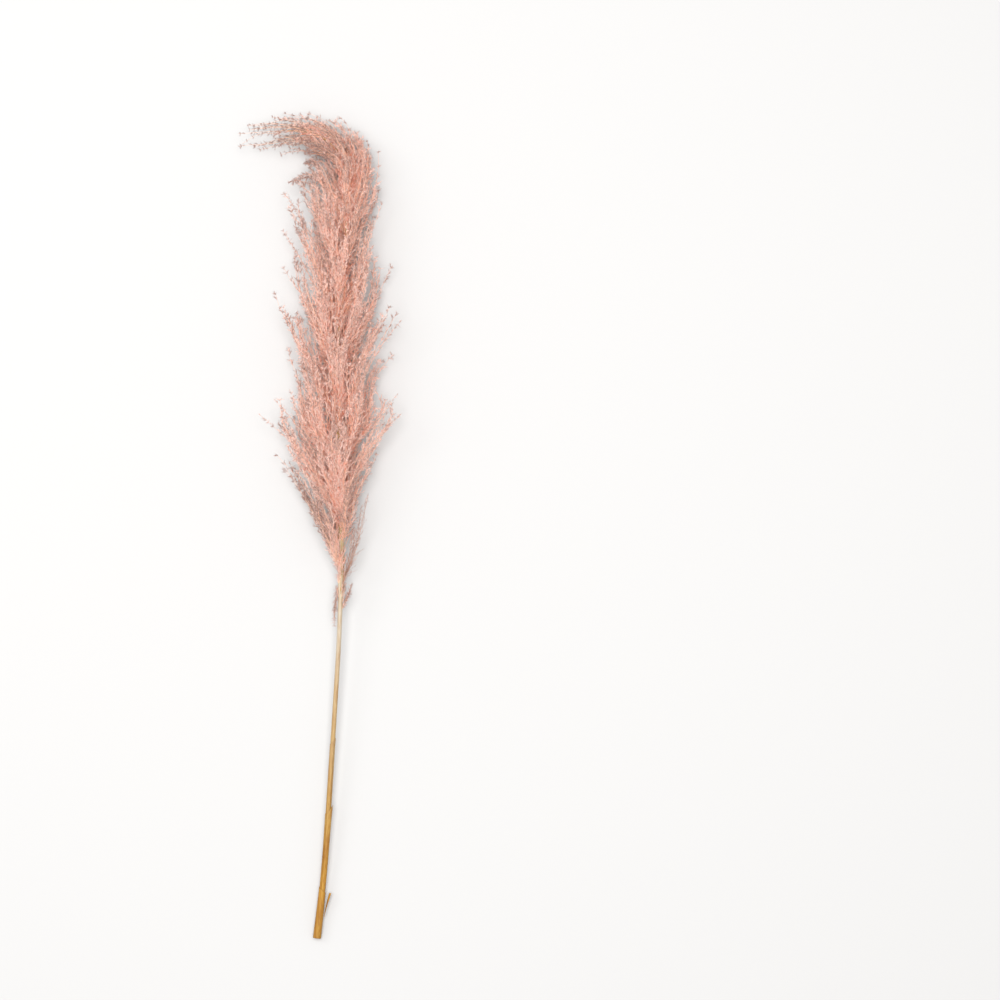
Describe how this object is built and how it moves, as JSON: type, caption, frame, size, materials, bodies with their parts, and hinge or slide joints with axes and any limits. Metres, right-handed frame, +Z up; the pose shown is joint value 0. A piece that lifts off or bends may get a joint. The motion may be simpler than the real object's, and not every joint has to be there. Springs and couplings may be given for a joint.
{
  "type": "pampas grass stem",
  "caption": "Cut and dried stem of pampas grass, dyed pink, lying flat: a straw culm in open leaf sheaths and a feathery plume whose tip hooks to one side.",
  "frame": {"origin": "on the surface the stem lies on, under the middle of its bounding box", "axes": "+Z up; +Y along the stem from its cut end towards its plume; the plume's tip hooks towards -X"},
  "size_m": [0.2048, 1.0296, 0.0829],
  "materials": {
    "culm": "dry straw, faintly shiny, cream at the neck and golden towards the cut",
    "sheath": "golden brown papery straw with fine lengthwise veins",
    "plume": "matt salmon-pink hair, deeper orange-red in the gaps and paler at the edges"
  },
  "bodies": {
    "root": {"culm": "culm", "lower_sheath": "sheath", "middle_sheath": "sheath", "upper_sheath": "sheath", "sheath_sliver": "sheath", "wisp_right_long": "plume", "wisp_right_short": "plume", "wisp_left_hanging": "plume", "tuft_1_1": "plume", "tuft_1_2": "plume", "tuft_1_3": "plume", "tuft_1_4": "plume", "tuft_1_5": "plume", "tuft_2_1": "plume", "tuft_2_2": "plume", "tuft_2_3": "plume", "tuft_2_4": "plume", "tuft_2_5": "plume", "tuft_3_1": "plume", "tuft_3_2": "plume", "tuft_3_3": "plume", "tuft_3_4": "plume", "tuft_3_5": "plume", "tuft_4_1": "plume", "tuft_4_2": "plume", "tuft_4_3": "plume", "tuft_4_4": "plume", "tuft_4_5": "plume", "tuft_5_1": "plume", "tuft_5_2": "plume", "tuft_5_3": "plume", "tuft_5_4": "plume", "tuft_5_5": "plume", "tuft_6_1": "plume", "tuft_6_2": "plume", "tuft_6_3": "plume", "tuft_6_4": "plume", "tuft_6_5": "plume", "tuft_7_1": "plume", "tuft_7_2": "plume", "tuft_7_3": "plume", "tuft_7_4": "plume", "tuft_7_5": "plume", "tuft_8_1": "plume", "tuft_8_2": "plume", "tuft_8_3": "plume", "tuft_8_4": "plume", "tuft_8_5": "plume", "tuft_9_1": "plume", "tuft_9_2": "plume", "tuft_9_3": "plume", "tuft_9_4": "plume", "tuft_9_5": "plume", "tuft_10_1": "plume", "tuft_10_2": "plume", "tuft_10_3": "plume", "tuft_10_4": "plume", "tuft_10_5": "plume"}
  },
  "joints": []
}
